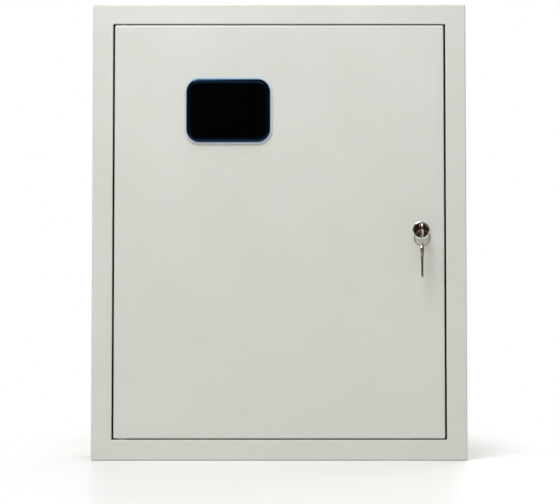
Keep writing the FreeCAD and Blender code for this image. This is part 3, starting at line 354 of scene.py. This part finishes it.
def screw_heads(name, centres, radius, height, recess_width, recess_depth):
    """Pan heads facing -Y on a polar grid, closed by a flat face at the seat. The crown's
    height falls as a rounded step towards the rim, and the cross is where either sideways
    distance from the centre is under half the recess's width, deepest in the middle."""
    flat_share = 0.45
    recess_reach = 0.58 * radius
    recess_slope = 0.12
    recess_rise = 0.55
    rings = np.concatenate([np.linspace(0.0, 0.55, 12), np.linspace(0.6, 1.0, 9)])
    turns = np.linspace(0.0, 2 * np.pi, 64, endpoint=False)
    share, angle = np.meshgrid(rings, turns, indexing="ij")
    x, z = radius * share * np.cos(angle), radius * share * np.sin(angle)
    from_middle = np.hypot(x, z)
    arm = np.minimum(np.abs(x), np.abs(z))
    across = np.clip((recess_width / 2 - arm) / (recess_slope * recess_width), 0.0, 1.0)
    along = np.clip((recess_reach - from_middle) / (recess_slope * recess_reach), 0.0, 1.0)
    recess = across * along * recess_depth * (1.0 - recess_rise * from_middle / recess_reach)
    crown = height * (1.0 - np.clip((share - flat_share) / (1.0 - flat_share), 0.0, 1.0) ** 3.0)
    crown = crown - recess
    head = np.stack([x, -crown, z], -1).reshape(-1, 3)
    head_faces = grid_faces(len(rings), len(turns), closed_columns=True)
    head_faces.append(list(range(len(head) - len(turns), len(head))))
    points = np.array(centres)[:, None, :] + head[None, :, :]
    faces = [
        [start + i for i in face]
        for start in range(0, len(centres) * len(head), len(head)) for face in head_faces
    ]
    return merged(mesh_piece(name, points, faces))


plate_head_radius = 0.0044
plate_head_height = 0.0026
plate_recess_width = 0.0012
plate_recess_depth = 0.0017
plate_low, plate_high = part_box("plate_screws")
plate_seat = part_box("meter_plate")[0].y
plate_screw_places = [
    (x, plate_seat, z)
    for x in (plate_low.x + plate_head_radius, plate_high.x - plate_head_radius)
    for z in (plate_low.z + plate_head_radius, plate_high.z - plate_head_radius)
]
plate_screws = screw_heads(
    "plate_screw_heads", plate_screw_places, plate_head_radius, plate_head_height,
    plate_recess_width, plate_recess_depth,
)
plate_screws.data.materials.append(zinc)
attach(plate_screws, "box")
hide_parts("plate_screws")

rail_head_radius = 0.0040
rail_head_height = 0.0024
rail_recess_width = 0.0011
rail_recess_depth = 0.0016
side_rail_inset = 0.015
rail_low, rail_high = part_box("rail_screws")
side_low, side_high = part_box("side_rail")
main_low, main_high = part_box("main_rail")
rail_seat = rail_low.y + rail_head_height
side_z = (side_low.z + side_high.z) / 2
main_z = (main_low.z + main_high.z) / 2
rail_screw_places = [
    (side_low.x + side_rail_inset, rail_seat, side_z),
    (side_high.x - side_rail_inset, rail_seat, side_z),
    (rail_low.x + rail_head_radius, rail_seat, main_z),
    (rail_high.x - rail_head_radius, rail_seat, main_z),
]
rail_screws = screw_heads(
    "rail_screw_heads", rail_screw_places, rail_head_radius, rail_head_height,
    rail_recess_width, rail_recess_depth,
)
rail_screws.data.materials.append(zinc)
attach(rail_screws, "box")
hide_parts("rail_screws")


# The breaker cover: the same painted sheet folded into a shallow tray, held by four
# hand screws with knurled heads moulded in black plastic.
dress(grey_paint, "breaker_cover")
black_plastic = surface(
    "black_plastic", (0.018, 0.018, 0.019), (0.030, 0.030, 0.031), (0.42, 0.56),
    patch=0.008, grain=0.0004, relief=0.000015,
)
dress(black_plastic, "cover_screws")


# The neutral and earth bars: drawn brass, drilled for the wires, with slotted clamping
# screws, on waisted insulating feet in blue and in green.
brass = surface(
    "drawn_brass", (0.56, 0.36, 0.11), (0.74, 0.52, 0.20), (0.22, 0.34),
    metallic=1.0, patch=0.006, grain=0.0004, relief=0.000004, stretch=(0.2, 1, 1),
)
dress(brass, "neutral_bar", "earth_bar")
dress(zinc, "neutral_bar_screws", "earth_bar_screws")
blue_plastic = surface(
    "blue_insulator", (0.008, 0.055, 0.30), (0.012, 0.075, 0.37), (0.34, 0.44),
    patch=0.01, grain=0.0006, relief=0.000012,
)
green_plastic = surface(
    "green_insulator", (0.010, 0.15, 0.030), (0.016, 0.20, 0.045), (0.34, 0.44),
    patch=0.01, grain=0.0006, relief=0.000012,
)
dress(blue_plastic, "neutral_bar_feet")
dress(green_plastic, "earth_bar_feet")


# The earth studs: steel studs with a weld collar, one on the shell's back and one
# inside the door, each with a brass washer and nut for the earth wire.
dress(zinc, "box_earth_stud", "door_earth_stud")
dress(brass, "box_earth_nut", "door_earth_nut")


# The hinge: headed steel pins through the shell and the frame into the door's folded
# edges, which thick plates back, with a nylon washer under the lower corner. The washer
# is painted grey as painted shade, so that corner of the gap stays dark.
dress(zinc, "upper_hinge_pin", "lower_hinge_pin")
dress(grey_paint, "upper_hinge_plate", "lower_hinge_plate")
# Painted shade: the washer's grey stands in for the shade in the gap's lower corner.
nylon = surface(
    "nylon_painted_shade", (0.30, 0.29, 0.26), (0.46, 0.44, 0.40), (0.38, 0.46),
    patch=0.004, grain=0.0005, relief=0.00001,
)
dress(nylon, "hinge_washer")


# The door: one sheet of steel with its four edges folded back, cut out for the window
# and the lock, and powder coated with the frame.
dress(grey_paint, "door_panel")


# The window's seal: a soft pale rubber frame between the lens and the door, seen as a
# thin rounded rim.
def ring_path(centre_x, centre_z, width, height, corner, corner_steps=14):
    """Points and outward directions round a rectangle with round corners: each corner
    is a quarter turn at the corner's radius, and the sides join the quarters."""
    quarter = np.linspace(0.0, np.pi / 2, corner_steps)
    angle = np.concatenate([quarter + i * np.pi / 2 for i in range(4)])
    sign_x = np.repeat([1, -1, -1, 1], corner_steps)
    sign_z = np.repeat([1, 1, -1, -1], corner_steps)
    out_x, out_z = np.cos(angle), np.sin(angle)
    x = centre_x + sign_x * (width / 2 - corner) + corner * out_x
    z = centre_z + sign_z * (height / 2 - corner) + corner * out_z
    return x, z, out_x, out_z


def carried(name, path, outset, level, closed):
    """A profile carried round a ring path: point = path + outset along the outward
    direction, at the profile's level in Y. A closed profile makes a solid frame, and
    an open one ends in a flat face at each end."""
    x, z, out_x, out_z = path
    px = x[None, :] + outset[:, None] * out_x[None, :]
    pz = z[None, :] + outset[:, None] * out_z[None, :]
    py = np.repeat(level[:, None], len(x), 1)
    faces = grid_faces(len(outset), len(x), closed_rows=closed, closed_columns=True)
    if not closed:
        faces.append(list(range(len(x))))
        faces.append(list(range((len(outset) - 1) * len(x), len(outset) * len(x))))
    return merged(mesh_piece(name, np.stack([px, py, pz], -1), faces))


def sharp_edges(piece, degrees):
    """Keeps an edge crisp where its faces meet at more than the given angle."""
    work = bmesh.new()
    work.from_mesh(piece.data)
    for edge in work.edges:
        if len(edge.link_faces) == 2:
            edge.smooth = edge.calc_face_angle() < math.radians(degrees)
    work.to_mesh(piece.data)
    work.free()


gasket_low, gasket_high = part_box("window_gasket")
lens_low, lens_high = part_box("window_lens")
window_x = (gasket_low.x + gasket_high.x) / 2
window_z = (gasket_low.z + gasket_high.z) / 2
lens_width = lens_high.x - lens_low.x
lens_height = lens_high.z - lens_low.z
lens_corner = 0.0155
lens_path = ring_path(window_x, window_z, lens_width, lens_height, lens_corner)
seal_inset = 0.00285
seal_rim = (gasket_high.x - gasket_low.x - lens_width) / 2
seal_thick = gasket_high.y - gasket_low.y
seal_middle = (gasket_low.y + gasket_high.y) / 2
# The bead's section is a squared half circle: it goes out by the root of the cosine of
# its turn and along Y by the root of the sine.
bead_half = 0.55 * seal_rim
bead_turn = np.linspace(np.pi / 2, -np.pi / 2, 17)
bead_out = np.abs(np.cos(bead_turn)) ** 0.5
bead_rise = np.sign(np.sin(bead_turn)) * np.abs(np.sin(bead_turn)) ** 0.5
seal_outset = np.concatenate([
    [-seal_inset, -seal_inset], seal_rim - bead_half + bead_half * bead_out,
])
seal_level = np.concatenate([
    [gasket_high.y, gasket_low.y], seal_middle - seal_thick / 2 * bead_rise,
])
gasket = carried("window_seal", lens_path, seal_outset, seal_level, closed=True)
sharp_edges(gasket, 32.0)
pale_rubber = surface(
    "pale_rubber", (0.49, 0.575, 0.65), (0.54, 0.625, 0.70), (0.42, 0.55),
    patch=0.006, grain=0.0005, relief=0.00001,
)
gasket.data.materials.append(pale_rubber)
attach(gasket, "door")
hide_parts("window_gasket")


# The window's lens: one moulding in smoked blue plastic, with a rounded border over
# the seal, a sunk flat panel, and a skirt through the door that its clips hold. The
# thick border looks navy, and the thin panel nearly black over the dark box.
border_back = gasket_low.y
border_front = lens_low.y
border_side = 0.0006
border_round = 0.0032
skirt_inner = 0.0046
skirt_outer = 0.0030
sink_insets = [0.0036, 0.0040, 0.0045, 0.0052]
sink_depths = [0.00002, 0.00008, 0.00017, 0.0002]
# The section goes from the skirt's inner face round its end to the border's edge, over
# the border as a quarter of an ellipse, and down into the panel in four small steps.
border_turn = np.linspace(0.0, np.pi / 2, 9)
lens_outset = np.concatenate([
    [-skirt_inner, -skirt_inner, -skirt_outer, -skirt_outer, 0.0],
    -border_round * (1 - np.cos(border_turn)),
    -np.array(sink_insets),
])
lens_level = np.concatenate([
    [border_back + border_side, lens_high.y, lens_high.y, border_back, border_back],
    (border_back - border_side) + (border_front - border_back + border_side) * np.sin(border_turn),
    border_front + np.array(sink_depths),
])
lens = carried("window_glazing", lens_path, lens_outset, lens_level, closed=False)
sharp_edges(lens, 40.0)


def border_share(piece, centre_x, centre_z, width, height, corner, inner, outer):
    """A point attribute named border: 0 deeper than inner inside a rectangle with round
    corners, 1 nearer than outer to its outline. The depth is the corner radius less the
    distance beyond the rectangle shrunk by that radius."""
    points = np.empty(len(piece.data.vertices) * 3)
    piece.data.vertices.foreach_get("co", points)
    points = points.reshape(-1, 3)
    over_x = np.abs(points[:, 0] - centre_x) - width / 2 + corner
    over_z = np.abs(points[:, 2] - centre_z) - height / 2 + corner
    outside = np.hypot(np.maximum(over_x, 0), np.maximum(over_z, 0))
    beyond = outside + np.minimum(np.maximum(over_x, over_z), 0)
    share = np.clip((inner - (corner - beyond)) / (inner - outer), 0.0, 1.0)
    values = piece.data.attributes.new("border", "FLOAT", "POINT").data
    values.foreach_set("value", share.astype(np.float32))


clear_inset = 0.0053
navy_inset = 0.0040
border_share(
    lens, window_x, window_z, lens_width, lens_height, lens_corner, clear_inset, navy_inset,
)
smoked_plastic = surface(
    "smoked_plastic", (0.006, 0.012, 0.019), (0.008, 0.015, 0.023), (0.02, 0.05),
    patch=0.03, grain=0.002, relief=0.000002,
)
lens_shader = shader_of(smoked_plastic)
lens_shader.inputs["IOR"].default_value = 1.5
lens_shader.inputs["Specular Tint"].default_value = (0.20, 0.52, 1.0, 1.0)
lens_tree = smoked_plastic.node_tree
on_border = add_node(lens_tree, "Attribute", attribute_name="border")
navy = add_node(lens_tree, "Mix", {"B": (0.0012, 0.006, 0.0150, 1.0)}, data_type="RGBA")
join(on_border, "Fac", navy, "Factor")
join(lens_tree.nodes["Color Ramp"], "Color", navy, "A")
join(navy, "Result", lens_shader, "Base Color")
clearness = add_node(lens_tree, "MapRange", {"To Min": 1.0, "To Max": 0.35})
join(on_border, "Fac", clearness, "Value")
join(clearness, "Result", lens_shader, "Transmission Weight")
lens.data.materials.append(smoked_plastic)
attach(lens, "door")
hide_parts("window_lens")


# The window's retainer: a flat frame moulded in black plastic. It lies behind the door's
# sheet, and the lens's clips hold it there.
dress(black_plastic, "window_retainer")


# The cam lock's housing: die-cast zinc, chrome plated, with a domed rim in front of
# the door and a threaded body with two flats behind it.
def turned(name, radius, level, centre_x, centre_z):
    """A turned surface: radius and level are a grid and a column over (profile, turn),
    and each profile point goes round the axis at that radius."""
    angle = np.linspace(0.0, 2 * np.pi, radius.shape[1], endpoint=False)[None, :]
    points = np.stack([
        centre_x + radius * np.cos(angle), np.broadcast_to(level, radius.shape),
        centre_z + radius * np.sin(angle),
    ], -1)
    faces = grid_faces(*radius.shape, closed_rows=True, closed_columns=True)
    return merged(mesh_piece(name, points, faces))


lock_low, lock_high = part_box("lock_barrel")
lock_x = (lock_low.x + lock_high.x) / 2
lock_z = (lock_low.z + lock_high.z) / 2
lock_face = lock_low.y
door_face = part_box("door_panel")[0].y
body_back = lock_high.y
head_radius = 0.0105
rim_inner = 0.0085
rim_round = 0.0014
rim_edge = 0.00025
face_recess = 0.0022
bore_radius = 0.0061
body_radius = 0.0094
body_flat = 0.0079
body_neck = 0.0012
body_edge = 0.0004
thread_start = 0.0016
thread_pitch = 0.0012
thread_depth = 0.00045
# The profile comes forward along the bore, goes over the rim as a quarter circle, and
# back along the body. The thread cuts in by a triangle wave of the level over the pitch
# less the share of the turn, and the two flats stop the radius at a fixed height.
rim_turn = np.linspace(0.0, np.pi / 2, 9)
thread_levels = np.linspace(door_face + thread_start, body_back - body_edge, 150)
levels = np.concatenate([
    [body_back, lock_face + face_recess, lock_face + face_recess],
    [lock_face + rim_edge, lock_face],
    lock_face + rim_round * (1 - np.cos(rim_turn)),
    [door_face, door_face, door_face + body_neck],
    thread_levels, [body_back],
])[:, None]
plain = np.concatenate([
    [bore_radius, bore_radius, rim_inner],
    [rim_inner, rim_inner + rim_edge],
    head_radius - rim_round + rim_round * np.sin(rim_turn),
    [head_radius, body_radius, body_radius],
    np.full(len(thread_levels), body_radius), [body_radius - body_edge],
])[:, None]
lock_turns = np.linspace(0.0, 2 * np.pi, 96, endpoint=False)[None, :]
phase = (levels / thread_pitch - lock_turns / (2 * np.pi)) % 1.0
threaded = np.zeros_like(plain)
threaded[-len(thread_levels) - 1:-1] = thread_depth
radius = plain - threaded * np.abs(2 * phase - 1)
flat = body_flat / np.maximum(np.abs(np.sin(lock_turns)), 1e-6)
behind = (levels > door_face) & (plain > bore_radius)
radius = np.where(behind, np.minimum(radius, flat), radius)
barrel = turned("lock_housing", radius, levels, lock_x, lock_z)
sharp_edges(barrel, 38.0)
chrome = surface(
    "chrome_plate", (0.70, 0.70, 0.71), (0.78, 0.78, 0.79), (0.045, 0.10),
    metallic=1.0, patch=0.004, grain=0.0008, relief=0.000001,
)
barrel.data.materials.append(chrome)
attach(barrel, "door")
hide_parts("lock_barrel")


# The lock's nut and toothed washer behind the door, and the flat cam with its screw:
# zinc-plated steel. The cam hangs down when the lock is open.
dress(zinc, "lock_nut", "lock_washer", "lock_cam", "cam_screw")


# The lock's plug: a turned brass core, chrome plated, with the keyway cut through its
# polished face.
plug_chrome = surface(
    "plug_chrome", (0.44, 0.36, 0.30), (0.54, 0.45, 0.38), (0.06, 0.14),
    metallic=1.0, patch=0.003, grain=0.0006, relief=0.000001,
)
dress(plug_chrome, "lock_plug")


# The keys: stamped from sheet steel and nickel plated, with milled cuts and grooves,
# finely scratched from use. The spare key's nickel is painted darker and browner: a
# painted dark reflection of the unlit room that its flat faces mirror.
key_nickel = surface(
    "key_nickel", (0.34, 0.29, 0.23), (0.80, 0.71, 0.62), (0.12, 0.24),
    metallic=1.0, patch=0.0045, grain=0.00035, relief=0.000004, stretch=(1, 1, 0.5),
)
dress(key_nickel, "lock_key")
# Painted reflection: the spare key's nickel is darkened so it looks as dark as the room it mirrors.
spare_key_dark_reflection = surface(
    "spare_key_dark_reflection", (0.13, 0.105, 0.065), (0.50, 0.43, 0.32), (0.14, 0.28),
    metallic=1.0, patch=0.0045, grain=0.00035, relief=0.000004, stretch=(1, 1, 0.5),
)
# Its gloss is tinted brown as well, part of the same painted dark reflection.
shader_of(spare_key_dark_reflection).inputs["Specular Tint"].default_value = (0.42, 0.36, 0.26, 1.0)
dress(spare_key_dark_reflection, "spare_key")


# The split ring: spring wire wound twice round, its two ends cut where the wire steps
# across from one coil to the other.
ring_low, ring_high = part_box("key_ring")
ring_middle = (ring_low + ring_high) / 2
wire_radius = 0.00045
coil_gap = ring_high.y - ring_low.y - 2 * wire_radius
coil_radius = (ring_high.x - ring_low.x) / 2 - wire_radius
coil_start = 0.62
coil_cut = 0.045
# The wire's middle goes round for nearly two turns, and moves across by the distance of
# the coils, eased at both ends, as the second turn begins. Its section is a circle in
# the plane of the outward direction and Y.
wound = np.linspace(coil_cut, 2.0 - coil_cut, 193)
step = np.clip((wound - 1.0 + coil_cut) / (2 * coil_cut), 0.0, 1.0)
step = step * step * (3 - 2 * step)
coil_angle = 2 * np.pi * (wound + coil_start)
outwards = np.stack([np.cos(coil_angle), np.zeros_like(coil_angle), np.sin(coil_angle)], -1)
sideways = np.array([0.0, 1.0, 0.0])
wire_middle = np.array(ring_middle) + coil_radius * outwards
wire_middle = wire_middle + (coil_gap * step - coil_gap / 2)[:, None] * sideways
wire_angle = np.linspace(0.0, 2 * np.pi, 14, endpoint=False)
wire = (
    wire_middle[:, None, :]
    + wire_radius * np.cos(wire_angle)[None, :, None] * outwards[:, None, :]
    + wire_radius * np.sin(wire_angle)[None, :, None] * sideways[None, None, :]
)
wire_faces = grid_faces(len(wound), len(wire_angle), closed_columns=True)
wire_faces.append(list(range(len(wire_angle))))
wire_faces.append(list(range((len(wound) - 1) * len(wire_angle), len(wound) * len(wire_angle))))
split_ring = merged(mesh_piece("split_ring", wire, wire_faces))
sharp_edges(split_ring, 50.0)
# Painted reflection: the wire's steel is far darker than real steel, standing in for the dark room
# its front mirrors.
ring_steel_dark_reflection = surface(
    "ring_steel_dark_reflection", (0.06, 0.055, 0.043), (0.20, 0.185, 0.150), (0.16, 0.28),
    metallic=1.0, patch=0.003, grain=0.0003, relief=0.000004,
)
# The brownish gloss tint belongs to the same painted dark reflection.
shader_of(ring_steel_dark_reflection).inputs["Specular Tint"].default_value = (0.50, 0.48, 0.40, 1.0)
split_ring.data.materials.append(ring_steel_dark_reflection)
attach(split_ring, "ring")
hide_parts("key_ring")
